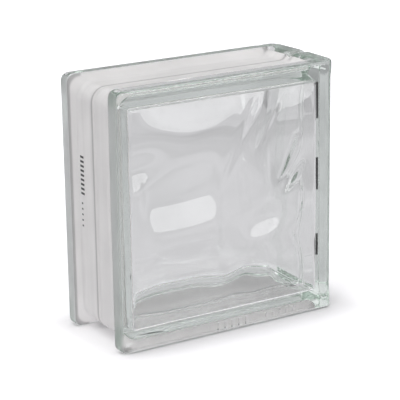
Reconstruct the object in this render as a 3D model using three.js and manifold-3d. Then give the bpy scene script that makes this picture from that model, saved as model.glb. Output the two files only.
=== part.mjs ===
// Finished-end hollow glass block, "wave" pattern.
// Two pressed glass trays meet rim to rim at the middle seam and close a still air space.
// Three edges (left, top, bottom) carry the mortar channel and its white coating; the right
// edge is the finished end, smooth and clear, with the wave pattern on its inner side too.
//
// Millimetres, +Z up, front face towards -Y, origin at the middle of the footprint.

import * as THREE from 'three';
import * as BufferGeometryUtils from 'three/addons/utils/BufferGeometryUtils.js';
import Module from 'manifold-3d';

const wasm = await Module();
wasm.setup();

// ---- driving dimensions ----------------------------------------------------------------------

const blockWidth = 187;
const blockHeight = 190;
const blockDepth = 80;

const faceEdgeRadius = 2.6;
const outlineCornerRadius = 6;
const flangeWidth = 9.5;
const shoulderRun = 3.5;
const channelDepth = 6.5;
const channelDepthAtSeam = 5.5;
const channelCornerRadius = 12;
const seamGrooveWidth = 3.2;
const seamGrooveDepth = 1.1;

const endDraft = 1.4;
const endPlanRadius = 10.5;
const endCornerRadius = 2.4;
const endRecess = 0.9;
const endRecessMargin = 7;
const endRecessBlend = 6;
const endNotchWidth = 8;
const endNotchDepth = 2;
const endGrooveWidth = 2.4;
const endGrooveDepth = 0.6;
const runOutStart = 21;
const runOutLength = 8;

const plateThickness = 8;
const sideWallThickness = 4.9;
const topWallThickness = 6.1;
const bottomWallThickness = 5.8;
const wallDraft = 1.4;
const endWallThickness = 11;
const endWallDraft = 5;
const innerFilletRadius = 2.5;
const cavityCornerRadius = 3;
const seamBeadHeight = 0.8;
const seamBeadWidth = 2.4;

const endWaveHeight = 0.9;
const endWaveLength = 55;
const endWaveCrest = 50;
const endWaveSlant = 40;
const endWaveFade = 25;
const swellFoot = 6;

const coatingThickness = 0.4;
const coatingClearance = 0.3;
const coatingReach = 0.5;

// ---- mesh steps ------------------------------------------------------------------------------

const cornerCount = 4;
const cornerSteps = 5;
const roundSteps = 3;
const shoulderSteps = 4;
const wallSteps = 3;
const filletSteps = 3;
const plateRings = 15;
const slopeStep = 0.05;
const weldDistance = 1e-4;

// ---- materials -------------------------------------------------------------------------------

const glassColour = 0xc9d6d0;
const coatingColour = 0xe3e2e0;

function glassMaterial() {
  return new THREE.MeshStandardMaterial({ color: glassColour, roughness: 0.05, metalness: 0 });
}

function coatingMaterial() {
  return new THREE.MeshStandardMaterial({ color: coatingColour, roughness: 0.75, metalness: 0 });
}

// ---- sizes that follow -----------------------------------------------------------------------

const halfWidth = blockWidth / 2;
const halfHeight = blockHeight / 2;
const halfDepth = blockDepth / 2;
const flangeInner = halfDepth - flangeWidth;
const channelEdge = flangeInner - shoulderRun;
const plateInner = halfDepth - plateThickness;
const filletStart = plateInner - innerFilletRadius;
const quarterTurn = Math.PI / 2;

const { lerp, smoothstep, clamp } = THREE.MathUtils;

// ---- the two outlines of a section -----------------------------------------------------------

// How far a rounded edge of this radius has drawn in, at a given way below the face.
function roundingInset(radius, below) {
  if (below >= radius) return 0;
  const rise = radius - Math.max(below, 0);
  return radius - Math.sqrt(radius * radius - rise * rise);
}

// A V groove on the seam, as a depth at a distance from the seam.
function grooveDepth(width, depth, fromSeam) {
  return depth * clamp(1 - fromSeam / (width / 2), 0, 1);
}

// Inset of the finished end's surface from the block's end plane.
function endInset(fromSeam) {
  const draft = endDraft * fromSeam / halfDepth;
  const rounding = roundingInset(endPlanRadius, halfDepth - fromSeam);
  return draft + rounding + grooveDepth(endGrooveWidth, endGrooveDepth, fromSeam);
}

// Inset of the top and bottom at the finished end, where the channel has run out.
function endTopInset(fromSeam) {
  const rounding = roundingInset(faceEdgeRadius, halfDepth - fromSeam);
  return rounding + grooveDepth(endNotchWidth, endNotchDepth, fromSeam);
}

// A slight hollow in the finished end, which leaves a strip at its top and bottom.
function endRecessAt(z, fromSeam) {
  const fromEdge = halfHeight - Math.abs(z - halfHeight);
  const panel = smoothstep(fromEdge, endRecessMargin, endRecessMargin + endRecessBlend);
  return endRecess * panel * (1 - roundingInset(endPlanRadius, halfDepth - fromSeam) / endPlanRadius);
}

// ---- stations of the half block's section ----------------------------------------------------
// A station is one ring round the block. y and the plain insets hold on the channelled sides;
// endY and the end insets hold at the finished end.

function outerStation(inset, y, endY) {
  return {
    y,
    endY,
    insetX: inset,
    insetTop: inset,
    insetBottom: inset,
    endX: endInset(Math.abs(endY)),
    endTop: endTopInset(Math.abs(endY)),
    endBottom: endTopInset(Math.abs(endY)),
    radius: outlineRadius(inset, Math.abs(y)),
    endRadius: endCornerRadius,
    outside: true,
  };
}

// A station lifted off the glass by a distance, moved along y by the slope's share of it.
function raisedStation(station, raised, slope) {
  const length = Math.hypot(1, slope);
  return {
    ...station,
    y: station.y + raised * slope / length,
    insetX: station.insetX - raised / length,
    insetTop: station.insetTop - raised / length,
    insetBottom: station.insetBottom - raised / length,
    endTop: station.endTop - raised,
    endBottom: station.endBottom - raised,
    radius: station.radius + raised / length,
  };
}

// The corners widen from the flange's outline down to the channel's floor.
function outlineRadius(inset, fromSeam) {
  if (fromSeam > flangeInner) return outlineCornerRadius - inset;
  const down = clamp(channelInset(fromSeam) / channelDepth, 0, 1);
  return lerp(outlineCornerRadius, channelCornerRadius, down);
}

// The inner wall at a height above the seam, drawn in further by its fillet or by the seam's bead.
function innerStation(y, drawnIn) {
  const lean = channelDepth + wallDraft * y / plateInner + drawnIn;
  return {
    y,
    endY: y,
    insetX: sideWallThickness + lean,
    insetTop: topWallThickness + lean,
    insetBottom: bottomWallThickness + lean,
    endX: endWallThickness + endWallDraft * y / plateInner + drawnIn,
    endTop: topWallThickness + lean,
    endBottom: bottomWallThickness + lean,
    radius: cavityCornerRadius,
    endRadius: cavityCornerRadius,
    outside: false,
  };
}

// The channel's depth at a distance from the seam.
function channelInset(fromSeam) {
  if (fromSeam > channelEdge) {
    return channelDepth * (1 - smoothstep(fromSeam, channelEdge, flangeInner));
  }
  const wall = lerp(channelDepthAtSeam, channelDepth, fromSeam / channelEdge);
  return wall + grooveDepth(seamGrooveWidth, seamGrooveDepth, fromSeam);
}

// Distances from the seam at which the shoulder, then the channel, is set out.
function shoulderSpots() {
  const spots = [];
  for (let step = 0; step <= shoulderSteps; step += 1) {
    spots.push(lerp(flangeInner, channelEdge, step / shoulderSteps));
  }
  return spots;
}

const channelSpots = [channelEdge / 2, endNotchWidth / 2, seamGrooveWidth / 2, 0];

// From the flange down the shoulder and across the channel to the seam.
function channelStations() {
  const endRoundingFoot = halfDepth - endPlanRadius;
  const stations = shoulderSpots().map((y, step) => {
    const endY = lerp(endRoundingFoot, channelEdge, (step + 1) / (shoulderSteps + 1));
    return outerStation(channelInset(y), y, endY);
  });
  for (const y of channelSpots) {
    stations.push(outerStation(channelInset(y), y, y));
  }
  return stations;
}

function outerStations() {
  const stations = [];
  for (let step = 0; step <= roundSteps; step += 1) {
    const turn = quarterTurn * step / roundSteps;
    const y = halfDepth - faceEdgeRadius * (1 - Math.cos(turn));
    const endY = halfDepth - endPlanRadius * (1 - Math.cos(turn));
    stations.push(outerStation(faceEdgeRadius * (1 - Math.sin(turn)), y, endY));
  }
  return [...stations, ...channelStations()];
}

// The glass pushed inward where the two rims are fused, highest on the seam.
function seamBead(y) {
  return seamBeadHeight * (1 - smoothstep(y, 0, seamBeadWidth));
}

// The walls lean in from the seam to the plate and end in a fillet.
function innerStations() {
  const stations = [];
  for (const y of [0, seamBeadWidth / 2]) {
    stations.push(innerStation(y, seamBead(y)));
  }
  for (let step = 0; step <= wallSteps; step += 1) {
    stations.push(innerStation(lerp(seamBeadWidth, filletStart, step / wallSteps), 0));
  }
  for (let step = 1; step <= filletSteps; step += 1) {
    const turn = quarterTurn * step / filletSteps;
    const y = filletStart + innerFilletRadius * Math.sin(turn);
    stations.push(innerStation(y, innerFilletRadius * (1 - Math.cos(turn))));
  }
  return stations;
}

// ---- the pressed waves -----------------------------------------------------------------------

// One swell of a plate's inner side: its middle, half its length and width, its turn in degrees
// and the glass that it adds. A square swell keeps its height further along before it ends.
function swell(x, z, length, width, turn, added, squareness = 2) {
  const turned = THREE.MathUtils.degToRad(turn);
  return { x, z, length, width, cos: Math.cos(turned), sin: Math.sin(turned), added, squareness };
}

const frontSwells = [
  swell(-31, 191, 46, 30, -3, 4.6),
  swell(52, 189, 24, 22, 0, 4.2),
  swell(-40, 113, 35, 17, 2, 1.75, 6),
  swell(-38, 77, 33, 17, 2, -1.75, 6),
  swell(-40, 94, 30, 30, 0, 1),
  swell(-72, 133, 19, 12, 14, 2.9),
  swell(32, 80, 17, 8, 12, 1.15),
  swell(30, 63, 17, 8, 12, -1.15),
  swell(20, 151, 8, 30, -28, -1),
  swell(52, 127, 24, 24, 40, 0.9),
  swell(62, 34, 30, 18, 0, 1.2),
  swell(-41, 28, 34, 18, 0, 2.2, 4),
  swell(16, 28, 14, 16, 0, 1.6),
];

const backSwells = [
  swell(-49, 149, 40, 22, 20, 1),
  swell(12, 119, 22, 40, -25, -1.2),
  swell(62, 164, 26, 24, 0, 2),
  swell(52, 119, 26, 24, -20, -0.8),
  swell(-29, 68, 40, 18, 10, 1.2),
  swell(42, 58, 30, 20, -15, -1.2),
  swell(2, 28, 20, 12, 0, 1.3),
  swell(-49, 26, 18, 10, 10, -1),
  swell(52, 28, 20, 12, 0, -0.8),
];

// How much the swells thicken the glass at one place of the plate.
function addedGlass(x, z, swells) {
  let total = 0;
  for (const each of swells) {
    const along = Math.abs((x - each.x) * each.cos + (z - each.z) * each.sin) / each.length;
    const across = ((z - each.z) * each.cos - (x - each.x) * each.sin) / each.width;
    total += each.added * Math.exp(-(along ** each.squareness) - across * across);
  }
  return total;
}

// ---- rings round the block -------------------------------------------------------------------

// Where the steps of a long side fall, as shares of its length from its first corner.
function sideShares(steps, crowdStart, crowdEnd) {
  const shares = [];
  for (let step = 1; step < steps; step += 1) {
    shares.push(step / steps);
  }
  return [...crowdStart, ...shares, ...crowdEnd];
}

const nearCorner = [0.02, 0.045];
const nearRunOut = [0.015, 0.035, 0.055];
const mirrored = (shares) => shares.map((share) => 1 - share).reverse();
const topShares = sideShares(11, nearRunOut, []);
const leftShares = sideShares(10, [], []);
const bottomShares = mirrored(topShares);
const rightShares = sideShares(10, nearCorner, mirrored(nearCorner));
const allShares = [topShares, leftShares, bottomShares, rightShares];

// One slot for each point of a ring: a step of a corner's arc, or a share of a side. Corner 0 is
// the top right one, 1 the top left, 2 the bottom left and 3 the bottom right.
function ringSlots() {
  const slots = [];
  allShares.forEach((shares, corner) => {
    for (let step = 0; step <= cornerSteps; step += 1) {
      slots.push({ corner, turn: quarterTurn * (corner + step / cornerSteps) });
    }
    for (const share of shares) {
      slots.push({ corner, share });
    }
  });
  return slots;
}

const slots = ringSlots();

// The centre and radius of one corner of a station.
function cornerOf(station, corner) {
  const right = corner === 0 || corner === 3;
  const up = corner < 2 ? 1 : -1;
  const radius = right ? station.endRadius : station.radius;
  const insetX = right ? station.endX : station.insetX;
  const top = right ? station.endTop : station.insetTop;
  const bottom = right ? station.endBottom : station.insetBottom;
  const insetZ = corner < 2 ? top : bottom;
  const x = (right ? 1 : -1) * (halfWidth - insetX - radius);
  const z = halfHeight + up * (halfHeight - insetZ - radius);
  return { x, y: right ? station.endY : station.y, z, radius };
}

function arcPoint(corner, turn) {
  const x = corner.x + corner.radius * Math.cos(turn);
  const z = corner.z + corner.radius * Math.sin(turn);
  return new THREE.Vector3(x, corner.y, z);
}

// How far the channel has run out at this place along the top or bottom, 0 to 1.
function runOut(x) {
  const start = halfWidth - runOutStart;
  return smoothstep(x, start, start + runOutLength);
}

function ringPoint(station, slot) {
  const here = cornerOf(station, slot.corner);
  if (slot.share === undefined) {
    return arcPoint(here, slot.turn);
  }
  const next = cornerOf(station, (slot.corner + 1) % cornerCount);
  const turn = quarterTurn * (slot.corner + 1);
  const point = arcPoint(here, turn).lerp(arcPoint(next, turn), slot.share);
  const flat = slot.corner === 0 || slot.corner === 2;
  if (flat && station.outside) {
    const faded = runOut(point.x);
    const up = slot.corner === 0 ? 1 : -1;
    const inset = lerp(station.insetTop, station.endTop, faded);
    point.y = lerp(station.y, station.endY, faded);
    point.z = halfHeight + up * (halfHeight - inset);
  }
  return point;
}

// The finished end's hollow panel outside and its waves inside.
function shapeEnd(point, station, side) {
  const wallFoot = halfWidth - endWallThickness - endWallDraft;
  const onEnd = smoothstep(point.x, halfWidth - runOutStart, wallFoot);
  if (station.outside) {
    point.x -= onEnd * endRecessAt(point.z, point.y);
  } else {
    const fromEdge = halfHeight - Math.abs(point.z - halfHeight);
    const inWall = smoothstep(fromEdge, channelDepth + topWallThickness, endWaveFade);
    const turn = (point.z - endWaveCrest) * 2 * Math.PI / endWaveLength + side * point.y / endWaveSlant;
    point.x -= onEnd * inWall * endWaveHeight * Math.cos(turn);
  }
  return point;
}

// ---- turning a row of rings into a solid -----------------------------------------------------

// A lathe turned once round gives the mesh of rings; place() then moves each of its points.
function loft(rowCount, place, closed) {
  const profile = [];
  for (let row = 0; row < rowCount; row += 1) {
    profile.push(new THREE.Vector2(1, row));
  }
  if (closed) profile.push(profile[0].clone());
  const geometry = new THREE.LatheGeometry(profile, slots.length);
  const positions = geometry.attributes.position;
  for (let index = 0; index < positions.count; index += 1) {
    const row = (index % profile.length) % rowCount;
    const slot = Math.floor(index / profile.length) % slots.length;
    const point = place(row, slots[slot]);
    positions.setXYZ(index, point.x, point.y, point.z);
  }
  return withoutSlivers(geometry);
}

// Merge shared points and drop the triangles that a pole folded to a line.
function withoutSlivers(geometry) {
  geometry.deleteAttribute('normal');
  geometry.deleteAttribute('uv');
  const merged = BufferGeometryUtils.mergeVertices(geometry, weldDistance);
  const source = merged.index.array;
  const kept = [];
  for (let corner = 0; corner < source.length; corner += 3) {
    const [a, b, c] = source.slice(corner, corner + 3);
    if (a !== b && b !== c && c !== a) kept.push(a, b, c);
  }
  merged.setIndex(kept);
  return merged;
}

// ---- the glass trays -------------------------------------------------------------------------

function trayGeometry(side, swells) {
  const outer = outerStations();
  const inner = innerStations();
  const face = inner[inner.length - 1];
  const rows = [{ pole: true, y: halfDepth, outside: true }, ...outer, ...inner];
  for (let ring = plateRings - 1; ring > 0; ring -= 1) {
    rows.push({ ...face, scale: ring / plateRings });
  }
  rows.push({ pole: true, y: plateInner, outside: false });
  const place = (row, slot) => {
    const station = rows[side < 0 ? rows.length - 1 - row : row];
    const point = station.pole ? new THREE.Vector3(0, station.y, halfHeight)
      : shapeEnd(ringPoint(station, slot), station, side);
    if (station.scale) {
      point.x *= station.scale;
      point.z = halfHeight + (point.z - halfHeight) * station.scale;
    }
    if (!station.outside) {
      const nearPlate = smoothstep(point.y, swellFoot, filletStart + innerFilletRadius / 2);
      point.y -= nearPlate * addedGlass(point.x, point.z, swells);
    }
    point.y *= side;
    return point;
  };
  return loft(rows.length, place, false);
}

// ---- the coating -----------------------------------------------------------------------------

// How fast the channel deepens with y, taken across a short step.
function channelSlope(y) {
  const rise = channelInset(Math.abs(y + slopeStep)) - channelInset(Math.abs(y - slopeStep));
  return rise / (2 * slopeStep);
}

// The channel's own stations from one shoulder to the other, lifted off the glass by a distance.
function channelLine(raised) {
  const reach = channelEdge + coatingReach * shoulderRun;
  const covered = channelStations().filter((station) => station.y <= reach);
  const mirror = covered.slice(0, -1).reverse();
  const opposite = mirror.map((station) => ({ ...station, y: -station.y, endY: -station.endY }));
  const line = [...covered, ...opposite];
  return line.map((station) => raisedStation(station, raised, channelSlope(station.y)));
}

function coatingGeometry() {
  const outside = channelLine(coatingClearance + coatingThickness);
  const inside = channelLine(coatingClearance).reverse();
  const loop = [...outside, ...inside];
  const band = solidOf(loft(loop.length, (row, slot) => ringPoint(loop[row], slot), true));
  const cutter = new THREE.BoxGeometry(blockWidth, blockDepth, 2 * blockHeight);
  cutter.translate(halfWidth - runOutStart + halfWidth, 0, halfHeight);
  return geometryOf(band.subtract(solidOf(withoutSlivers(cutter))));
}

// ---- manifold joins and cuts -----------------------------------------------------------------

function solidOf(geometry) {
  const mesh = new wasm.Mesh({
    numProp: 3,
    vertProperties: new Float32Array(geometry.attributes.position.array),
    triVerts: new Uint32Array(geometry.index.array),
  });
  return new wasm.Manifold(mesh);
}

function geometryOf(solid) {
  const mesh = solid.getMesh();
  const geometry = new THREE.BufferGeometry();
  geometry.setAttribute('position', new THREE.BufferAttribute(mesh.vertProperties, mesh.numProp));
  geometry.setIndex(new THREE.BufferAttribute(mesh.triVerts, 1));
  return geometry;
}

// ---- the block -------------------------------------------------------------------------------

function piece(name, geometry, material) {
  geometry.computeVertexNormals();
  const mesh = new THREE.Mesh(geometry, material);
  mesh.name = name;
  return mesh;
}

const block = new THREE.Group();
block.add(piece('front_half', trayGeometry(-1, frontSwells), glassMaterial()));
block.add(piece('back_half', trayGeometry(1, backSwells), glassMaterial()));
block.add(piece('edge_coating', coatingGeometry(), coatingMaterial()));

export default block;
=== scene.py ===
import math

import bmesh
import bpy
from mathutils import Matrix, Vector


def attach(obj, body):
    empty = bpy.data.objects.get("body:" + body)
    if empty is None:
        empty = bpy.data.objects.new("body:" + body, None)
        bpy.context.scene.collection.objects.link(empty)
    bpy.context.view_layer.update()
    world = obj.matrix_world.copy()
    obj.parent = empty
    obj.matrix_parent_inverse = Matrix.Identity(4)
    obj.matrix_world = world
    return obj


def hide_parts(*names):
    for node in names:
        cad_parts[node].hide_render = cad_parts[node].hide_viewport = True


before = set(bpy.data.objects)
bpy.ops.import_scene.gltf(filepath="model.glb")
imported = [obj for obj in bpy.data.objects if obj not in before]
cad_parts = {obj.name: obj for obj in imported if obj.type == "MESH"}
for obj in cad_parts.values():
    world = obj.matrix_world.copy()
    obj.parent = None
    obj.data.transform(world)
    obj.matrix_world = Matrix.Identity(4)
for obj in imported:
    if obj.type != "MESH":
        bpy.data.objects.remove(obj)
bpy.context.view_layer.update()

# ---- sizes, in millimetres -------------------------------------------------------------------

MM = 0.001

BLOCK_WIDTH = 187.0
BLOCK_HEIGHT = 190.0
BLOCK_DEPTH = 80.0
FACE_EDGE_RADIUS = 2.6
OUTLINE_CORNER_RADIUS = 6.0
CHANNEL_CORNER_RADIUS = 12.0
FLANGE_WIDTH = 9.5
SHOULDER_RUN = 3.5
CHANNEL_DEPTH = 6.5
CHANNEL_DEPTH_AT_SEAM = 5.5
SEAM_GROOVE_WIDTH = 3.2
SEAM_GROOVE_DEPTH = 1.1
END_DRAFT = 1.4
END_PLAN_RADIUS = 10.5
END_CORNER_RADIUS = 2.4
END_RECESS = 0.9
END_RECESS_MARGIN = 7.0
END_RECESS_BLEND = 6.0
END_NOTCH_WIDTH = 8.0
END_NOTCH_DEPTH = 2.0
END_GROOVE_WIDTH = 2.4
END_GROOVE_DEPTH = 0.6
RUN_OUT_START = 21.0
RUN_OUT_LENGTH = 8.0
PLATE_THICKNESS = 8.0
SIDE_WALL_THICKNESS = 4.9
TOP_WALL_THICKNESS = 6.1
BOTTOM_WALL_THICKNESS = 5.8
WALL_DRAFT = 1.4
END_WALL_THICKNESS = 11.0
END_WALL_DRAFT = 5.0
INNER_FILLET_RADIUS = 2.5
CAVITY_CORNER_RADIUS = 3.0

HALF_WIDTH = BLOCK_WIDTH / 2
HALF_HEIGHT = BLOCK_HEIGHT / 2
HALF_DEPTH = BLOCK_DEPTH / 2
FLANGE_INNER = HALF_DEPTH - FLANGE_WIDTH
CHANNEL_EDGE = FLANGE_INNER - SHOULDER_RUN
PLATE_INNER = HALF_DEPTH - PLATE_THICKNESS
FILLET_START = PLATE_INNER - INNER_FILLET_RADIUS
END_WALL_FOOT = HALF_WIDTH - END_WALL_THICKNESS - END_WALL_DRAFT

# The coating's film: its top and its underside above the glass, the share of the shoulder that
# it covers, and how far from the clear end's outside it stops.
FILM_TOP = 0.12
FILM_GAP = 0.02
FILM_SHOULDER_SHARE = 5 / 6
FILM_STOP = 16.0

# Half the length over which the slope of the glass below the film is taken.
SLOPE_STEP = 0.05

# Waves inside the clear end, a bead of glass along its fused seam, whose way is given as y and z,
# and a lower, wandering bead along the seam of the other walls. They fade out near the plates.
END_WAVE_HEIGHT = 0.9
END_WAVE_LENGTH = 55.0
END_WAVE_CREST = 50.0
END_WAVE_SLANT = 40.0
END_FADE = 6.0
END_BEAD_WAY = ((-5, 200), (-5, 149), (-4, 131), (3, 126), (8, 113), (12, 101), (18, 89),
                (-4, 95), (-8, 85), (-5, 64), (2, 49), (0, 43), (-5, 36), (-5, -10))
END_BEAD_HEIGHT = 1.4
END_BEAD_WIDTH = 2.2
WALL_BEAD_HEIGHT = 0.3
WALL_BEAD_WIDTH = 3.5
WALL_BEAD_WANDER = 1.5
WALL_BEAD_PERIOD = 17.0

# The low bead stays where the share of the clear end is below this.
OFF_CLEAR_END = 0.001

# Swells of the pressed relief: x, z, half length, half width, turn in degrees, added glass,
# and how squarely the swell ends along its length.
FRONT_SWELLS = (
    (-31, 191, 46, 30, -3, 4.6, 2),
    (52, 189, 24, 22, 0, 4.2, 2),
    (-39, 112, 31, 16, 2, 1.7, 12),
    (-37, 77, 30, 16, 2, -1.7, 12),
    (-40, 94, 30, 30, 0, 1.0, 2),
    (-73, 131, 19, 10, 14, 2.5, 2),
    (32, 80, 17, 8, 12, 1.15, 2),
    (30, 63, 17, 8, 12, -1.15, 2),
    (20, 151, 8, 30, -28, -1.0, 2),
    (52, 127, 24, 24, 40, 0.9, 2),
    (62, 34, 30, 18, 0, 1.2, 2),
    (-41, 28, 34, 18, 0, 2.2, 4),
    (16, 28, 14, 16, 0, 1.6, 2),
    (10, 141, 34, 3.0, 64, 0.8, 4),
    (35, 149, 21, 3.0, 62, 0.7, 4),
    (58, 109, 16, 4.5, 50, 1.5, 2),
)
BACK_SWELLS = (
    (-49, 149, 40, 22, 20, 1.0, 2),
    (12, 119, 22, 40, -25, -1.2, 2),
    (62, 164, 26, 24, 0, 2.0, 2),
    (52, 119, 26, 24, -20, -0.8, 2),
    (-29, 68, 40, 18, 10, 1.2, 2),
    (42, 58, 30, 20, -15, -1.2, 2),
    (2, 28, 20, 12, 0, 1.3, 2),
    (-49, 26, 18, 10, 10, -1.0, 2),
    (52, 28, 20, 12, 0, -0.8, 2),
)

# The walls start to follow the swells at the first distance from the seam and follow them wholly
# from the second. Past its reach, which has no unit, a swell adds nothing.
SWELL_FOOT = 6.0
SWELL_FULL = PLATE_INNER - 2.0
SWELL_REACH = 12.0

# How finely the pieces are cut: steps round a corner and along the top, left, bottom and right
# sides, with one more place close to each end of a side, then rings over the rolled edge, the
# shoulder, the inner wall, the inner fillet and the plate.
CORNER_STEPS = 10
SIDE_STEPS = (60, 60, 60, 100)
SIDE_END_SHARES = (0.003, 0.997)
EDGE_STEPS = 7
SHOULDER_STEPS = 10
WALL_STEPS = 24
FILLET_STEPS = 10
PLATE_RINGS = 54
FILM_SHOULDER_STEPS = 6

# How far beside an edge the ring lies that holds it.
SUPPORT = 0.35

# Rings from the channel's edge to the seam, as distances from the seam: on the glass and on the
# film. On the glass a pair of them holds each edge of the notch and of the groove.
NOTCH_SUPPORT = 0.2
GROOVE_SUPPORT = 0.15
CHANNEL_RINGS = (
    0.75 * CHANNEL_EDGE, 0.5 * CHANNEL_EDGE, 6.0,
    END_NOTCH_WIDTH / 2 + NOTCH_SUPPORT, END_NOTCH_WIDTH / 2 - NOTCH_SUPPORT, 2.4,
    SEAM_GROOVE_WIDTH / 2 + GROOVE_SUPPORT, SEAM_GROOVE_WIDTH / 2 - GROOVE_SUPPORT,
    0.9, 0.45, 0.2, 0.0,
)
FILM_RINGS = (
    0.75 * CHANNEL_EDGE, 0.5 * CHANNEL_EDGE, 6.0, 2.4, SEAM_GROOVE_WIDTH / 2, 0.9, 0.45, 0.0,
)

ROW_SPACING = 0.01
QUARTER = math.pi / 2
CORNER_WAYS = ((1, 1), (-1, 1), (-1, -1), (1, -1))


def lerp(a, b, t):
    return a + (b - a) * t


def smoothstep(x, low, high):
    t = min(max((x - low) / (high - low), 0.0), 1.0)
    return t * t * (3.0 - 2.0 * t)


# ---- the block's profile ---------------------------------------------------------------------

def rounding_inset(radius, below):
    """How far a rounded edge lies inside the face at a depth below its top."""
    if below >= radius:
        return 0.0
    rise = radius - below
    return radius - math.sqrt(max(radius * radius - rise * rise, 0.0))


def groove(width, depth, from_seam):
    return depth * max(0.0, 1.0 - from_seam / (width / 2))


def end_inset(from_seam):
    """How far the clear end lies inside the block's width."""
    draft = END_DRAFT * from_seam / HALF_DEPTH
    rounding = rounding_inset(END_PLAN_RADIUS, HALF_DEPTH - from_seam)
    return draft + rounding + groove(END_GROOVE_WIDTH, END_GROOVE_DEPTH, from_seam)


def end_top_inset(from_seam):
    """How far the top of the clear end lies inside the block's height."""
    rounding = rounding_inset(FACE_EDGE_RADIUS, HALF_DEPTH - from_seam)
    return rounding + groove(END_NOTCH_WIDTH, END_NOTCH_DEPTH, from_seam)


def end_recess_at(z, from_seam):
    """The hollow panel of the clear end."""
    from_edge = HALF_HEIGHT - abs(z - HALF_HEIGHT)
    panel = smoothstep(from_edge, END_RECESS_MARGIN, END_RECESS_MARGIN + END_RECESS_BLEND)
    fade = 1 - rounding_inset(END_PLAN_RADIUS, HALF_DEPTH - from_seam) / END_PLAN_RADIUS
    return END_RECESS * panel * fade


def channel_inset(from_seam):
    """Depth of the mortar channel, with the shoulder and the groove of the fused seam."""
    if from_seam > CHANNEL_EDGE:
        return CHANNEL_DEPTH * (1 - smoothstep(from_seam, CHANNEL_EDGE, FLANGE_INNER))
    wall = lerp(CHANNEL_DEPTH_AT_SEAM, CHANNEL_DEPTH, from_seam / CHANNEL_EDGE)
    return wall + groove(SEAM_GROOVE_WIDTH, SEAM_GROOVE_DEPTH, from_seam)


def outline_radius(inset, from_seam):
    if from_seam > FLANGE_INNER:
        return OUTLINE_CORNER_RADIUS - inset
    share = min(channel_inset(from_seam) / CHANNEL_DEPTH, 1)
    return lerp(OUTLINE_CORNER_RADIUS, CHANNEL_CORNER_RADIUS, share)


def outer(inset, y, end_y):
    """One ring round the outside: y beside the channel, and end_y where it passes the clear end."""
    end_top = end_top_inset(abs(end_y))
    return dict(y=y, end_y=end_y, inset=inset, top=inset, bottom=inset,
                end_x=end_inset(abs(end_y)), end_top=end_top, end_bottom=end_top,
                radius=outline_radius(inset, abs(y)),
                end_radius=END_CORNER_RADIUS, outside=True)


def inner(y, fillet):
    """One ring round the air space."""
    lean = CHANNEL_DEPTH + WALL_DRAFT * y / PLATE_INNER + fillet
    end_x = END_WALL_THICKNESS + END_WALL_DRAFT * y / PLATE_INNER + fillet
    top = TOP_WALL_THICKNESS + lean
    bottom = BOTTOM_WALL_THICKNESS + lean
    return dict(y=y, end_y=y, inset=SIDE_WALL_THICKNESS + lean, top=top, bottom=bottom,
                end_x=end_x, end_top=top, end_bottom=bottom,
                radius=CAVITY_CORNER_RADIUS, end_radius=CAVITY_CORNER_RADIUS, outside=False)


def outer_half():
    """Rings of one half from its face to the seam."""
    rows = [outer(FACE_EDGE_RADIUS + SUPPORT, HALF_DEPTH, HALF_DEPTH)]
    rows[0]["end_x"] += SUPPORT
    for step in range(EDGE_STEPS + 1):
        turn = QUARTER * step / EDGE_STEPS
        y = HALF_DEPTH - FACE_EDGE_RADIUS * (1 - math.cos(turn))
        end_y = HALF_DEPTH - END_PLAN_RADIUS * (1 - math.cos(turn))
        rows.append(outer(FACE_EDGE_RADIUS * (1 - math.sin(turn)), y, end_y))
    foot = HALF_DEPTH - END_PLAN_RADIUS
    spots = [HALF_DEPTH - FACE_EDGE_RADIUS - SUPPORT, FLANGE_INNER + SUPPORT]
    for step in range(SHOULDER_STEPS + 1):
        spots.append(lerp(FLANGE_INNER, CHANNEL_EDGE, step / SHOULDER_STEPS))
    for index, y in enumerate(spots):
        end_y = lerp(foot, CHANNEL_EDGE, (index + 1) / len(spots))
        rows.append(outer(channel_inset(y), y, end_y))
    for y in CHANNEL_RINGS:
        rows.append(outer(channel_inset(y), y, y))
    return rows


def inner_half():
    """Rings of one half's air space from the seam to the plate, then smaller and smaller on it."""
    rows = [inner(FILLET_START * step / WALL_STEPS, 0.0) for step in range(WALL_STEPS + 1)]
    for step in range(1, FILLET_STEPS + 1):
        turn = QUARTER * step / FILLET_STEPS
        y = FILLET_START + INNER_FILLET_RADIUS * math.sin(turn)
        rows.append(inner(y, INNER_FILLET_RADIUS * (1 - math.cos(turn))))
    for ring in range(PLATE_RINGS - 1, 0, -1):
        rows.append(dict(inner(PLATE_INNER, INNER_FILLET_RADIUS), scale=ring / PLATE_RINGS))
    return rows


def film_row(raised, y):
    """A ring of the coating's film, raised square to the glass."""
    rise = channel_inset(abs(y + SLOPE_STEP)) - channel_inset(abs(y - SLOPE_STEP))
    slope = rise / (2 * SLOPE_STEP)
    length = math.hypot(1, slope)
    row = outer(channel_inset(abs(y)) - raised / length, y + raised * slope / length, y)
    row["end_top"] -= raised
    row["end_bottom"] -= raised
    return row


# ---- waves, beads and swells -----------------------------------------------------------------

def added_glass(x, z, swells):
    """How much the swells thicken a plate at one place."""
    total = 0.0
    for centre_x, centre_z, length, width, turn, height, squareness in swells:
        c, s = math.cos(math.radians(turn)), math.sin(math.radians(turn))
        along = abs((x - centre_x) * c + (z - centre_z) * s) / length
        across = (-(x - centre_x) * s + (z - centre_z) * c) / width
        distance = along ** squareness + across * across
        if distance < SWELL_REACH:
            total += height * math.exp(-distance)
    return total


def distance_to_way(y, z, way):
    nearest = math.inf
    for (y0, z0), (y1, z1) in zip(way, way[1:]):
        length = (y1 - y0) ** 2 + (z1 - z0) ** 2
        share = min(max(((y - y0) * (y1 - y0) + (z - z0) * (z1 - z0)) / length, 0), 1)
        off_y, off_z = y - y0 - share * (y1 - y0), z - z0 - share * (z1 - z0)
        nearest = min(nearest, math.hypot(off_y, off_z))
    return nearest


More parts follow.
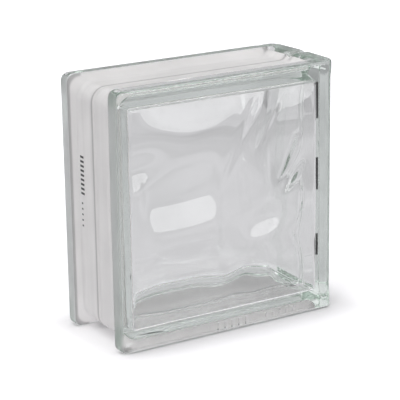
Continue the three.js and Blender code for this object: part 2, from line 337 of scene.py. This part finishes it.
def on_clear_end(x):
    return smoothstep(x, HALF_WIDTH - RUN_OUT_START, END_WALL_FOOT)


def wave_inner_wall(point, side):
    """Waves and seam bead on the clear end, and the low bead on the other walls."""
    on_end = on_clear_end(point.x)
    y = side * point.y
    off_plate = 1 - smoothstep(abs(y), FILLET_START - END_FADE, PLATE_INNER)
    bead_way = distance_to_way(y, point.z, END_BEAD_WAY) / END_BEAD_WIDTH
    bead = END_BEAD_HEIGHT * math.exp(-bead_way ** 2)
    turn = (point.z - END_WAVE_CREST) * 2 * math.pi / END_WAVE_LENGTH + y / END_WAVE_SLANT
    point.x -= on_end * off_plate * (END_WAVE_HEIGHT * math.cos(turn) + bead)
    if on_end < OFF_CLEAR_END:
        wander = WALL_BEAD_WANDER * math.sin((point.x + 2 * point.z) / WALL_BEAD_PERIOD)
        lift = off_plate * WALL_BEAD_HEIGHT * math.exp(-((y - wander) / WALL_BEAD_WIDTH) ** 2)
        if abs(point.x) > abs(point.z - HALF_HEIGHT):
            point.x += lift if point.x < 0 else -lift
        else:
            point.z += lift if point.z < HALF_HEIGHT else -lift
    return point


# ---- from rings to pieces --------------------------------------------------------------------

def ring_slots():
    """Places round a ring: the steps of each corner, then the steps of the side after it."""
    slots = []
    for corner in range(4):
        for step in range(CORNER_STEPS + 1):
            slots.append((corner, QUARTER * (corner + step / CORNER_STEPS), None))
        shares = set(step / SIDE_STEPS[corner] for step in range(1, SIDE_STEPS[corner]))
        for share in sorted(shares.union(SIDE_END_SHARES)):
            slots.append((corner, None, share))
    return slots


SLOTS = ring_slots()


def corner_of(row, corner):
    """Middle, radius and depth of a ring's rounded corner."""
    x_way, z_way = CORNER_WAYS[corner]
    if x_way > 0:
        inset_x, radius, y = row["end_x"], row["end_radius"], row["end_y"]
        inset_z = row["end_top"] if z_way > 0 else row["end_bottom"]
    else:
        inset_x, radius, y = row["inset"], row["radius"], row["y"]
        inset_z = row["top"] if z_way > 0 else row["bottom"]
    x = x_way * (HALF_WIDTH - inset_x - radius)
    z = HALF_HEIGHT + z_way * (HALF_HEIGHT - inset_z - radius)
    return x, z, radius, y


def arc_point(corner, turn):
    x, z, radius, y = corner
    return Vector((x + radius * math.cos(turn), y, z + radius * math.sin(turn)))


def ring_point(row, slot):
    """A ring's point at a slot. On the top and bottom the channel runs out near the clear end."""
    corner, turn, share = slot
    here = corner_of(row, corner)
    if share is None:
        return arc_point(here, turn)
    following = corner_of(row, (corner + 1) % 4)
    turn = QUARTER * (corner + 1)
    point = arc_point(here, turn).lerp(arc_point(following, turn), share)
    if corner in (0, 2) and row["outside"]:
        start = HALF_WIDTH - RUN_OUT_START
        run_out = smoothstep(point.x, start, start + RUN_OUT_LENGTH)
        z_way = 1 if corner == 0 else -1
        inset = lerp(row["top"], row["end_top"], run_out)
        point.y = lerp(row["y"], row["end_y"], run_out)
        point.z = HALF_HEIGHT + z_way * (HALF_HEIGHT - inset)
    return point


def shell_point(row, slot, side):
    point = ring_point(row, slot)
    point.x -= on_clear_end(point.x) * end_recess_at(point.z, abs(point.y))
    point.y *= side
    return point * MM


def cavity_point(row, slot, side, swells):
    point = wave_inner_wall(ring_point(row, slot), side)
    scale = row.get("scale", 1.0)
    point.x *= scale
    point.z = HALF_HEIGHT + (point.z - HALF_HEIGHT) * scale
    near_plate = smoothstep(point.y, SWELL_FOOT, SWELL_FULL)
    point.y -= near_plate * added_glass(point.x, point.z, swells)
    point.y *= side
    return point * MM


def spun(placers, closed=False):
    """A row of points is spun once round, then each is moved to its own place."""
    bm = bmesh.new()
    row_layer = bm.verts.layers.int.new("row")
    verts = []
    for index in range(len(placers)):
        vert = bm.verts.new((1.0, 0.0, index * ROW_SPACING))
        vert[row_layer] = index
        verts.append(vert)
    edges = [bm.edges.new(pair) for pair in zip(verts, verts[1:])]
    if closed:
        edges.append(bm.edges.new((verts[-1], verts[0])))
    count = len(SLOTS)
    bmesh.ops.spin(bm, geom=verts + edges, cent=(0, 0, 0), axis=(0, 0, 1), dvec=(0, 0, 0),
                   angle=2 * math.pi, steps=count, use_merge=True)
    for vert in bm.verts:
        slot = round(math.atan2(vert.co.y, vert.co.x) / (2 * math.pi) * count) % count
        vert.co = placers[vert[row_layer]](SLOTS[slot])
    return bm


def close_ring(bm, row, y):
    """Closes the first or last ring with a fan of faces round its middle."""
    layer = bm.verts.layers.int["row"]
    rim = [edge for edge in bm.edges
           if len(edge.link_faces) == 1 and all(vert[layer] == row for vert in edge.verts)]
    middle = bm.verts.new(Vector((0, y, HALF_HEIGHT)) * MM)
    for edge in rim:
        bm.faces.new((edge.verts[0], edge.verts[1], middle))


def turn_faces(bm, outward=True):
    """Faces of a closed form point outward, or inward where it is a cavity's wall."""
    bmesh.ops.recalc_face_normals(bm, faces=bm.faces)
    if (bm.calc_volume(signed=True) > 0) != outward:
        bmesh.ops.reverse_faces(bm, faces=bm.faces)


def to_object(bm, name):
    mesh = bpy.data.meshes.new(name)
    bm.to_mesh(mesh)
    bm.free()
    for polygon in mesh.polygons:
        polygon.use_smooth = True
    obj = bpy.data.objects.new(name, mesh)
    bpy.context.collection.objects.link(obj)
    return obj


def make_glass():
    """Both halves fused to one body, with the air space as a closed cavity inside."""
    half = outer_half()
    rows = [(row, -1) for row in half] + [(row, 1) for row in reversed(half[:-1])]
    shell = spun([lambda slot, row=row, side=side: shell_point(row, slot, side)
                  for row, side in rows])
    close_ring(shell, 0, -HALF_DEPTH)
    close_ring(shell, len(rows) - 1, HALF_DEPTH)
    turn_faces(shell)

    half = inner_half()
    rows = [(row, -1, FRONT_SWELLS) for row in reversed(half)]
    rows += [(row, 1, BACK_SWELLS) for row in half[1:]]
    cavity = spun([lambda slot, row=row, side=side, swells=swells:
                   cavity_point(row, slot, side, swells) for row, side, swells in rows])
    close_ring(cavity, 0, added_glass(0, HALF_HEIGHT, FRONT_SWELLS) - PLATE_INNER)
    close_ring(cavity, len(rows) - 1, PLATE_INNER - added_glass(0, HALF_HEIGHT, BACK_SWELLS))
    turn_faces(cavity, outward=False)

    cavity_mesh = bpy.data.meshes.new("cavity")
    cavity.to_mesh(cavity_mesh)
    cavity.free()
    shell.from_mesh(cavity_mesh)
    bpy.data.meshes.remove(cavity_mesh)
    return to_object(shell, "fused_glass")


def make_coating():
    """A thin film in the channel, cut off square short of the clear end."""
    top_step = round(FILM_SHOULDER_SHARE * FILM_SHOULDER_STEPS)
    spots = [lerp(CHANNEL_EDGE, FLANGE_INNER, step / FILM_SHOULDER_STEPS)
             for step in range(top_step, -1, -1)]
    spots += FILM_RINGS
    spots += [-y for y in reversed(spots[:-1])]
    rows = [film_row(FILM_TOP, y) for y in spots]
    rows += [film_row(FILM_GAP, y) for y in reversed(spots)]
    film = spun([lambda slot, row=row: ring_point(row, slot) * MM for row in rows], closed=True)
    cut = Vector(((HALF_WIDTH - FILM_STOP) * MM, 0, 0))
    geom = film.verts[:] + film.edges[:] + film.faces[:]
    result = bmesh.ops.bisect_plane(film, geom=geom, plane_co=cut, plane_no=(1, 0, 0),
                                    clear_outer=True)
    edges = [item for item in result["geom_cut"] if isinstance(item, bmesh.types.BMEdge)]
    bmesh.ops.edgenet_fill(film, edges=edges)
    turn_faces(film)
    return to_object(film, "channel_coating")


# ---- values of the materials; places and sizes in millimetres --------------------------------

# The glass: its colours, the matt rim and how far in it reaches, the wavy skin and the ticks'
# height and the face that they stand on, as two depths and a softness.
GLASS_IOR = 1.52
GLASS_WHITE = (0.985, 0.988, 0.986, 1)
GLASS_GREEN = (0.69, 0.765, 0.715, 1)
GLASS_GREEN_DENSITY = 10.0
RIM_ROUGHNESS = 0.8
RIM_FULL = 1.0
RIM_REACH = 2.5
SKIN_NOISE = dict(scale=60.0, detail=1.0)
SKIN_HEIGHT = 0.02
TICK_HEIGHT = 0.8
TICK_FACE = (-40.1, -38.5, 0.2)

# Rows of plain strokes: one stroke's middle, the step to the next, half a stroke and its soft
# edge, then where the row starts and ends and where its two sides lie, each with its softness.
LARGE_TICKS = dict(middle=0.0, step=6.0, half=0.6, soft=1.0,
                   ends=(-15.0, 15.0, 0.5), sides=(2.6, 7.8, 0.6))
SMALL_TICKS = dict(middle=29.5, step=6.0, half=0.5, soft=1.0,
                   ends=(27.0, 56.0, 0.5), sides=(4.4, 6.8, 0.6))
WIDE_DASHES = dict(middle=100.0, step=3.4, half=0.6, soft=0.4,
                   ends=(101.0, 133.0, 0.2), sides=(19.5, 24.5, 0.5))
FINE_DASHES = dict(middle=100.0, step=4.2, half=0.4, soft=0.4,
                   ends=(78.0, 98.0, 0.2), sides=(22.5, 24.2, 0.5))

# The coating: how much light comes through it, its brushed streaks and its clouds, the darker
# line of painted shade along its rims at the side, the greyer line of painted shade beside the
# seam and how dark the dashes are.
COAT_WHITE = (1.0, 0.995, 0.985, 1)
COAT_BLACK = (0.0, 0.0, 0.0, 1)
COAT_THROUGH = 0.6
COAT_BUMP = 0.12
COAT_BUMP_HEIGHT = 0.3
COAT_STREAK_STRETCH = (6, 170, 6)
COAT_STREAKS = dict(scale=1.0, detail=2.0)
COAT_STREAK_RANGE = (0.35, 0.65)
COAT_STREAK_LEVEL = 0.955
COAT_CLOUDS = dict(scale=45.0, detail=3.0)
COAT_CLOUD_RANGE = (0.35, 0.7)
COAT_CLOUD_LEVEL = 0.975
COAT_ROUGH_RANGE = (0.3, 0.7)
COAT_ROUGHNESS = (0.5, 0.7)
COAT_SIDE = (80.0, 84.0)
COAT_RIM = (28.7, 29.4)
COAT_RIM_SHADE_LEVEL = 0.7
SEAM_SHADE_PLACE = 3.5
SEAM_SHADE_HALF = 0.7
SEAM_SHADE_END = 2.2 * SEAM_SHADE_HALF
SEAM_SHADE_LEVEL = 0.76
INK_SIDE = (-82.0, -81.0)
INK_DEPTH = 0.85

# The mix node's colour sockets have the same names as its number sockets, so they go by place.
MIX_FIRST, MIX_SECOND, MIX_COLOUR = 6, 7, 2


# ---- small helpers for node trees ------------------------------------------------------------

def new_material(name):
    material = bpy.data.materials.new(name)
    material.use_nodes = True
    tree = material.node_tree
    return material, tree, tree.nodes["Principled BSDF"], tree.nodes["Material Output"]


def metres(*sizes):
    return [size * MM for size in sizes]


def put(tree, value, socket):
    """Sets an input to a number, or links another node's output to it."""
    if isinstance(value, (int, float)):
        socket.default_value = value
    else:
        tree.links.new(value, socket)


def number(tree, operation, *values):
    """A maths node."""
    node = tree.nodes.new("ShaderNodeMath")
    node.operation = operation
    for place, value in enumerate(values):
        put(tree, value, node.inputs[place])
    return node.outputs[0]


def product(tree, first, *others):
    for other in others:
        first = number(tree, "MULTIPLY", first, other)
    return first


def blend(tree, value, from_min, from_max, to_min, to_max, smooth=True):
    """A value carried from one range to another."""
    node = tree.nodes.new("ShaderNodeMapRange")
    node.interpolation_type = "SMOOTHSTEP" if smooth else "LINEAR"
    put(tree, value, node.inputs["Value"])
    put(tree, from_min, node.inputs["From Min"])
    put(tree, from_max, node.inputs["From Max"])
    put(tree, to_min, node.inputs["To Min"])
    put(tree, to_max, node.inputs["To Max"])
    return node.outputs[0]


def between(tree, value, low, high, soft):
    """1 where a value lies between two others, 0 outside, with soft ends."""
    above = blend(tree, value, low - soft, low, 0.0, 1.0)
    below = blend(tree, value, high, high + soft, 1.0, 0.0)
    return product(tree, above, below)


def strokes(tree, along, across, middle, step, half, soft, ends, sides):
    """1 on the strokes of a row, 0 beside them; all sizes in millimetres."""
    turn = number(tree, "MULTIPLY_ADD", along, 1 / (step * MM), 0.5 - middle / step)
    away = number(tree, "ABSOLUTE", number(tree, "SUBTRACT", number(tree, "FRACT", turn), 0.5))
    row = blend(tree, away, half / step, (half + soft) / step, 1.0, 0.0)
    in_row = between(tree, along, *metres(*ends))
    return product(tree, row, in_row, between(tree, across, *metres(*sides)))


def split_axes(tree, vector):
    split = tree.nodes.new("ShaderNodeSeparateXYZ")
    tree.links.new(vector, split.inputs[0])
    return split.outputs["X"], split.outputs["Y"], split.outputs["Z"]


def object_place(tree):
    """The place on the piece, whole and split into x, y and z."""
    place = tree.nodes.new("ShaderNodeTexCoord").outputs["Object"]
    return (place, *split_axes(tree, place))


def noise(tree, vector, scale, detail, distortion=0.0):
    node = tree.nodes.new("ShaderNodeTexNoise")
    node.inputs["Scale"].default_value = scale
    node.inputs["Detail"].default_value = detail
    node.inputs["Distortion"].default_value = distortion
    tree.links.new(vector, node.inputs["Vector"])
    return node.outputs[0]


def add_bump(tree, shader, height, strength, distance):
    bump = tree.nodes.new("ShaderNodeBump")
    bump.inputs["Strength"].default_value = strength
    bump.inputs["Distance"].default_value = distance
    tree.links.new(height, bump.inputs["Height"])
    tree.links.new(bump.outputs[0], shader.inputs["Normal"])


# ---- the block's materials -------------------------------------------------------------------

def glass_material():
    """Clear pressed glass: matt left rim, a skin that is very slightly wavy, plain ticks below."""
    material, tree, shader, output = new_material("clear_glass")
    shader.inputs["Base Color"].default_value = GLASS_WHITE
    shader.inputs["IOR"].default_value = GLASS_IOR
    shader.inputs["Transmission Weight"].default_value = 1.0
    place, x, y, z = object_place(tree)
    rim = blend(tree, x, *metres(RIM_FULL - HALF_WIDTH, RIM_REACH - HALF_WIDTH),
                RIM_ROUGHNESS, 0.0)
    tree.links.new(rim, shader.inputs["Roughness"])
    large = strokes(tree, x, z, **LARGE_TICKS)
    small = strokes(tree, x, z, **SMALL_TICKS)
    on_face = between(tree, y, *metres(*TICK_FACE))
    ticks = product(tree, number(tree, "ADD", large, small), on_face)
    skin = product(tree, noise(tree, place, **SKIN_NOISE), SKIN_HEIGHT * MM)
    add_bump(tree, shader, number(tree, "MULTIPLY_ADD", ticks, TICK_HEIGHT * MM, skin), 1.0, 1.0)
    absorption = tree.nodes.new("ShaderNodeVolumeAbsorption")
    absorption.inputs["Color"].default_value = GLASS_GREEN
    absorption.inputs["Density"].default_value = GLASS_GREEN_DENSITY
    tree.links.new(absorption.outputs["Volume"], output.inputs["Volume"])
    return material


def coating_material():
    """White film, brushed on along the channel: soft streaks, a greyer line of painted shade near
    the seam.
    """
    material, tree, shader, output = new_material("white_coating")
    place, x, y, z = object_place(tree)
    stretch = tree.nodes.new("ShaderNodeVectorMath")
    stretch.operation = "MULTIPLY"
    stretch.inputs[1].default_value = COAT_STREAK_STRETCH
    tree.links.new(place, stretch.inputs[0])
    streak = noise(tree, stretch.outputs[0], **COAT_STREAKS)
    cloud = noise(tree, place, **COAT_CLOUDS)
    streaks = blend(tree, streak, *COAT_STREAK_RANGE, COAT_STREAK_LEVEL, 1.0)
    clouds = blend(tree, cloud, *COAT_CLOUD_RANGE, COAT_CLOUD_LEVEL, 1.0)

    # Painted shade: a greyer line just beside the seam, standing in for the shadow of its groove.
    from_seam = number(tree, "ABSOLUTE", number(tree, "SUBTRACT", y, SEAM_SHADE_PLACE * MM))
    seam = blend(tree, from_seam, *metres(SEAM_SHADE_HALF, SEAM_SHADE_END), SEAM_SHADE_LEVEL, 1.0)
    # Painted shade: a darker line along the coating's rims on the shoulder, on the left and right
    # sides.
    on_side = blend(tree, number(tree, "ABSOLUTE", x), *metres(*COAT_SIDE), 0.0, 1.0)
    at_shaded_rim = blend(tree, number(tree, "ABSOLUTE", y), *metres(*COAT_RIM), 0.0, 1.0)
    rim = blend(tree, product(tree, at_shaded_rim, on_side), 0.0, 1.0, 1.0, COAT_RIM_SHADE_LEVEL)
    wide = strokes(tree, z, y, **WIDE_DASHES)
    fine = strokes(tree, z, y, **FINE_DASHES)
    dashes = number(tree, "ADD", wide, fine)
    on_left = blend(tree, x, *metres(*INK_SIDE), 1.0, 0.0)
    bare = number(tree, "SUBTRACT", 1.0, product(tree, dashes, on_left, INK_DEPTH))

    colour = tree.nodes.new("ShaderNodeMix")
    colour.data_type = "RGBA"
    colour.inputs[MIX_FIRST].default_value = COAT_BLACK
    colour.inputs[MIX_SECOND].default_value = COAT_WHITE
    tree.links.new(product(tree, streaks, clouds, seam, rim, bare), colour.inputs[0])
    tree.links.new(colour.outputs[MIX_COLOUR], shader.inputs["Base Color"])
    roughness = blend(tree, cloud, *COAT_ROUGH_RANGE, *COAT_ROUGHNESS)
    tree.links.new(roughness, shader.inputs["Roughness"])
    add_bump(tree, shader, streak, COAT_BUMP, COAT_BUMP_HEIGHT * MM)
    through = tree.nodes.new("ShaderNodeBsdfTranslucent")
    tree.links.new(colour.outputs[MIX_COLOUR], through.inputs["Color"])
    mix = tree.nodes.new("ShaderNodeMixShader")
    mix.inputs["Fac"].default_value = COAT_THROUGH
    tree.links.new(shader.outputs[0], mix.inputs[1])
    tree.links.new(through.outputs[0], mix.inputs[2])
    tree.links.new(mix.outputs[0], output.inputs["Surface"])
    return material


glass = make_glass()
glass.data.materials.append(glass_material())
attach(glass, "root")
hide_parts("front_half", "back_half")

coating = make_coating()
coating.data.materials.append(coating_material())
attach(coating, "root")
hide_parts("edge_coating")

# ---- the stage: values in metres -------------------------------------------------------------

FLOOR_HALF = 6.0
FLOOR_DROP = 0.0003
FLOOR_ROUGHNESS = 0.9
FLOOR_TINT = (0.98, 0.95, 1, 1)

# What the camera sees: white, a little brighter away from the block.
CAMERA_WHITE = 0.95
CAMERA_GLOW_NEAR = 0.22
CAMERA_GLOW_REACH = 0.03
CAMERA_GLOW_FAR = 0.15
CAMERA_GLOW_START = 0.2
CAMERA_GLOW_FULL = 0.9

# What all other light meets: a pale table that also gives off a softly clouded light, stronger
# under the block and strongest under its front flange, and duller past the table's ends.
TABLE_WHITE = 0.30
GLOW_TO_GLASS = 0.385
GLOW_TO_DIFFUSE = 0.46
TABLE_CLOUDS = dict(scale=9.0, detail=4.0, distortion=1.0)
CLOUD_RANGE = (0.3, 0.7)
CLOUD_LOW = 0.86
CLOUD_HIGH = 1.08
TABLE_LEFT = -0.34
TABLE_RIGHT = 0.75
TABLE_END_LEVEL = 0.7
TABLE_BACK = 0.5
TABLE_BACK_LEVEL = 0.88
TABLE_END_SOFT = 0.02
UNDER_REACH = 0.03
UNDER_GLOW = 1.5
FRONT_START = -0.026
FRONT_FULL = -0.031
FRONT_GLOW = 1.7
FRONT_SOFT = 0.001
DEPTH_NEAR = 0.1
DEPTH_FAR = 0.45
DEPTH_NEAR_LEVEL = 1.06
DEPTH_FAR_LEVEL = 0.84
RIGHT_DIM = 0.3
RIGHT_DIM_X = (0.2, 0.42)
RIGHT_DIM_Y = (0.27, 0.6, 0.07)
FAR_LIFT = 1.22
FAR_LIFT_Y = (0.55, 0.7)

# Veils at the foot of the block.
SHADE_GAP = 0.0003
SHADE_HEIGHT = 0.006
SHADE_ROOF_HALF = 0.078
SHADE_DENSITY = 0.75
STAGE_BLACK = (0.01, 0.01, 0.01, 1)

# Strips of black paper: the corners of those beside the block, then the wedge behind it, with
# where it starts, and the near end, far end and two edges, in degrees, of each piece of it.
# They show to light that passed this many faces of glass and was mirrored at least once.
FACES_PASSED = 2.0
COUNT_SLACK = 0.1
MIRRORED = 0.5
STRIP_LIFT = 0.0002
SIDE_STRIPS = (
    ("far_strip", ((0.65, -0.04), (1.4, -0.04), (1.4, 0.12), (0.65, 0.08))),
    ("middle_strip", ((0.385, 0.10), (0.45, 0.10), (0.465, 0.23), (0.40, 0.23))),
    ("near_strip", ((0.182, -0.07), (0.222, -0.07), (0.222, -0.02), (0.182, -0.02))),
)
WEDGE_FOOT = (0.075, 0.04)
WEDGES = (
    ("far_wedge", 0.545, 0.725, 132.2, 134.4),
    ("middle_wedge", 0.268, 0.383, 132.0, 134.6),
    ("near_wedge", 0.075, 0.133, 130.5, 135.5),
)

# The room: its light and the side that it comes from, how far to the right it turns dark, and
# how high its duller ceiling starts, both by the direction's own x and z.
ROOM_TINT = (0.985, 0.975, 1, 1)
ROOM_LIGHT = 1.03
ROOM_BRIGHT_SIDE = (-0.35, -0.35, 0.0)
ROOM_DARK_SIDE = (0.75, 0.9)
ROOM_DARK = 0.03
CEILING_RISE = (0.45, 0.65)
CEILING_LEVEL = 0.7

# Softboxes: place, what it points at, size, power.
SOFTBOXES = (
    ("top_softbox", (-0.3, 0.1, 1.6), (0, 0, 0.1), (1.7, 1.4), 11),
    ("key_softbox", (0.62, -1.0, 0.31), (0, 0, 0.095), (0.55, 0.42), 2.4),
)

CAMERA_AZIMUTH = -31.788
CAMERA_ELEVATION = 16.3
CAMERA_DISTANCE = 1.25137
CAMERA_PAN = 0.0897
CAMERA_TILT = 0.2564
CAMERA_ROLL = -0.8556
FOCAL_PIXELS = 1702.18
FRAME_PIXELS = 400.0
SENSOR = 36.0

LIGHT_BOUNCES = 32
CLEAR_BOUNCES = 8

scene = bpy.context.scene
scene.view_settings.view_transform = "Standard"
scene.cycles.max_bounces = LIGHT_BOUNCES
scene.cycles.transmission_bounces = LIGHT_BOUNCES
scene.cycles.glossy_bounces = LIGHT_BOUNCES
scene.cycles.diffuse_bounces = LIGHT_BOUNCES
scene.cycles.transparent_max_bounces = CLEAR_BOUNCES


# ---- floor, light, camera --------------------------------------------------------------------

def beyond_footprint(tree, x, y):
    """How far a place on the floor lies outside the block's footprint."""
    squares = []
    for value, size in ((x, BLOCK_WIDTH), (y, BLOCK_DEPTH)):
        past = number(tree, "SUBTRACT", number(tree, "ABSOLUTE", value), size / 2 * MM)
        past = number(tree, "MAXIMUM", past, 0.0)
        squares.append(product(tree, past, past))
    return number(tree, "SQRT", number(tree, "ADD", *squares))


def table_glow(tree, place, x, y, beyond, in_glass):
    """The table's glow to everything but the camera, without its ends."""
    cloud = noise(tree, place, **TABLE_CLOUDS)
    clouds = blend(tree, cloud, *CLOUD_RANGE, CLOUD_LOW, CLOUD_HIGH)
    level = blend(tree, in_glass, 0.0, 1.0, GLOW_TO_DIFFUSE, GLOW_TO_GLASS)
    under = blend(tree, beyond, 0.0, UNDER_REACH, UNDER_GLOW, 1.0)
    front = blend(tree, y, FRONT_START, FRONT_FULL, 1.0, FRONT_GLOW)
    inside = blend(tree, beyond, 0.0, FRONT_SOFT, 1.0, 0.0)
    front = blend(tree, inside, 0.0, 1.0, 1.0, front)
    depth = blend(tree, y, DEPTH_NEAR, DEPTH_FAR, DEPTH_NEAR_LEVEL, DEPTH_FAR_LEVEL)
    on_right = blend(tree, x, *RIGHT_DIM_X, 0.0, 1.0)
    dim = product(tree, between(tree, y, *RIGHT_DIM_Y), RIGHT_DIM)
    right = number(tree, "SUBTRACT", 1.0, product(tree, on_right, dim))
    far = blend(tree, y, *FAR_LIFT_Y, 1.0, FAR_LIFT)
    return product(tree, level, clouds, under, front, depth, right, far)


def make_floor():
    """White to the camera; to all other light a pale table that gives off a soft light."""
    bm = bmesh.new()
    bmesh.ops.create_grid(bm, x_segments=1, y_segments=1, size=FLOOR_HALF)
    bmesh.ops.translate(bm, verts=bm.verts, vec=(0, 0, -FLOOR_DROP))
    floor = to_object(bm, "floor")
    material, tree, shader, output = new_material("studio_floor")
    place, x, y, z = object_place(tree)
    rays = tree.nodes.new("ShaderNodeLightPath").outputs
    to_camera = rays["Is Camera Ray"]
    in_glass = number(tree, "MAXIMUM", rays["Is Glossy Ray"], rays["Is Transmission Ray"])

    left = blend(tree, x, TABLE_LEFT, TABLE_LEFT - TABLE_END_SOFT, 1.0, TABLE_END_LEVEL)
    right = blend(tree, x, TABLE_RIGHT, TABLE_RIGHT + TABLE_END_SOFT, 1.0, TABLE_END_LEVEL)
    back = blend(tree, y, TABLE_BACK, TABLE_BACK + TABLE_END_SOFT, 1.0, TABLE_BACK_LEVEL)
    ends = product(tree, left, right)
    table = product(tree, ends, back, TABLE_WHITE)
    white = blend(tree, to_camera, 0.0, 1.0, table, CAMERA_WHITE)
    tree.links.new(white, shader.inputs["Base Color"])
    shader.inputs["Roughness"].default_value = FLOOR_ROUGHNESS
    shader.inputs["Specular IOR Level"].default_value = 0.0

    beyond = beyond_footprint(tree, x, y)
    glow = product(tree, table_glow(tree, place, x, y, beyond, in_glass), ends)
    distance = tree.nodes.new("ShaderNodeVectorMath")
    distance.operation = "LENGTH"
    tree.links.new(place, distance.inputs[0])
    near = blend(tree, beyond, 0.0, CAMERA_GLOW_REACH, 0.0, CAMERA_GLOW_NEAR)
    far = blend(tree, distance.outputs["Value"], CAMERA_GLOW_START, CAMERA_GLOW_FULL,
                0.0, CAMERA_GLOW_FAR)
    glow = blend(tree, to_camera, 0.0, 1.0, glow, number(tree, "ADD", near, far))
    shader.inputs["Emission Color"].default_value = FLOOR_TINT
    tree.links.new(glow, shader.inputs["Emission Strength"])
    floor.data.materials.append(material)


def add_quad(bm, corners):
    bm.faces.new([bm.verts.new(corner) for corner in corners])


def make_contact_shade():
    """Low grey veils at the foot that only diffuse light meets deepen the shadow there."""
    bm = bmesh.new()
    length, roof, top = (HALF_WIDTH - CHANNEL_DEPTH) * MM, SHADE_ROOF_HALF, SHADE_HEIGHT
    face = HALF_DEPTH * MM + SHADE_GAP
    for y in (-face, face):
        add_quad(bm, ((-length, y, 0), (length, y, 0), (length, y, top), (-length, y, top)))
    edge = CHANNEL_EDGE * MM
    add_quad(bm, ((-roof, -edge, top), (roof, -edge, top), (roof, edge, top), (-roof, edge, top)))
    shade = to_object(bm, "contact_shade")
    material, tree, shader, output = new_material("shade_black")
    shader.inputs["Base Color"].default_value = STAGE_BLACK
    shader.inputs["Specular IOR Level"].default_value = 0.0
    shader.inputs["Alpha"].default_value = SHADE_DENSITY
    shade.data.materials.append(material)
    shade.visible_camera = False
    shade.visible_glossy = False
    shade.visible_transmission = False


def paper_material():
    """Black paper that shows only to light that passed the glass and was mirrored in it."""
    material, tree, shader, output = new_material("black_paper")
    shader.inputs["Base Color"].default_value = STAGE_BLACK
    shader.inputs["Specular IOR Level"].default_value = 0.0
    rays = tree.nodes.new("ShaderNodeLightPath").outputs
    passed = number(tree, "COMPARE", rays["Transmission Depth"], FACES_PASSED, COUNT_SLACK)
    mirrored = number(tree, "GREATER_THAN", rays["Glossy Depth"], MIRRORED)
    clear = tree.nodes.new("ShaderNodeBsdfTransparent")
    mix = tree.nodes.new("ShaderNodeMixShader")
    tree.links.new(product(tree, passed, mirrored), mix.inputs["Fac"])
    tree.links.new(clear.outputs[0], mix.inputs[1])
    tree.links.new(shader.outputs[0], mix.inputs[2])
    tree.links.new(mix.outputs[0], output.inputs["Surface"])
    return material


def lay_strip(name, corners, paper):
    bm = bmesh.new()
    add_quad(bm, [(x, y, STRIP_LIFT) for x, y in corners])
    strip = to_object(bm, name)
    strip.data.materials.append(paper)
    strip.visible_camera = False
    strip.visible_diffuse = False
    strip.visible_shadow = False


def wedge_corners(near, far, low, high):
    """Corners of a piece of a narrow wedge that opens to the left behind the block."""
    corners = []
    for distance, turn in ((near, low), (near, high), (far, high), (far, low)):
        angle = math.radians(turn)
        corners.append((WEDGE_FOOT[0] + distance * math.cos(angle),
                        WEDGE_FOOT[1] + distance * math.sin(angle)))
    return corners


def lay_dark_strips():
    """Strips of paper beside and behind the block draw the dark streaks inside its clear end."""
    paper = paper_material()
    for name, corners in SIDE_STRIPS:
        lay_strip(name, corners, paper)
    for name, near, far, low, high in WEDGES:
        lay_strip(name, wedge_corners(near, far, low, high), paper)


def make_world():
    """A room that is bright at the front left and dark at the far right, with a duller ceiling."""
    world = bpy.data.worlds.new("studio")
    scene.world = world
    world.use_nodes = True
    tree = world.node_tree
    background = tree.nodes["Background"]
    direction = tree.nodes.new("ShaderNodeTexCoord").outputs["Generated"]
    x, y, z = split_axes(tree, direction)
    facing = tree.nodes.new("ShaderNodeVectorMath")
    facing.operation = "DOT_PRODUCT"
    facing.inputs[1].default_value = ROOM_BRIGHT_SIDE
    tree.links.new(direction, facing.inputs[0])
    level = number(tree, "ADD", facing.outputs["Value"], ROOM_LIGHT)
    side = blend(tree, x, *ROOM_DARK_SIDE, 1.0, ROOM_DARK, smooth=False)
    ceiling = blend(tree, z, *CEILING_RISE, 1.0, CEILING_LEVEL, smooth=False)
    tree.links.new(product(tree, level, side, ceiling), background.inputs["Strength"])
    background.inputs["Color"].default_value = ROOM_TINT


def hang_softbox(name, location, target, size, power):
    light = bpy.data.lights.new(name, "AREA")
    light.shape = "RECTANGLE"
    light.size, light.size_y = size
    light.energy = power
    obj = bpy.data.objects.new(name, light)
    obj.location = location
    direction = Vector(target) - Vector(location)
    obj.rotation_euler = direction.to_track_quat("-Z", "Y").to_euler()
    bpy.context.collection.objects.link(obj)


def sight(azimuth, elevation):
    a = math.radians(azimuth)
    e = math.radians(elevation)
    return Vector((math.sin(a) * math.cos(e), -math.cos(a) * math.cos(e), math.sin(e)))


def make_camera():
    data = bpy.data.cameras.new("camera")
    data.sensor_width = SENSOR
    data.lens = FOCAL_PIXELS / FRAME_PIXELS * SENSOR
    camera = bpy.data.objects.new("camera", data)
    bpy.context.collection.objects.link(camera)
    backward = sight(CAMERA_AZIMUTH + CAMERA_PAN, CAMERA_ELEVATION + CAMERA_TILT)
    right = Vector((0, 0, 1)).cross(backward).normalized()
    up = backward.cross(right)
    roll = math.radians(CAMERA_ROLL)
    x_axis = math.cos(roll) * right + math.sin(roll) * up
    y_axis = -math.sin(roll) * right + math.cos(roll) * up
    rotation = Matrix((x_axis, y_axis, backward)).transposed().to_4x4()
    middle = Vector((0, 0, HALF_HEIGHT * MM))
    position = middle + CAMERA_DISTANCE * sight(CAMERA_AZIMUTH, CAMERA_ELEVATION)
    camera.matrix_world = Matrix.Translation(position) @ rotation
    scene.camera = camera


make_floor()
make_contact_shade()
make_world()
for softbox in SOFTBOXES:
    hang_softbox(*softbox)
lay_dark_strips()
make_camera()
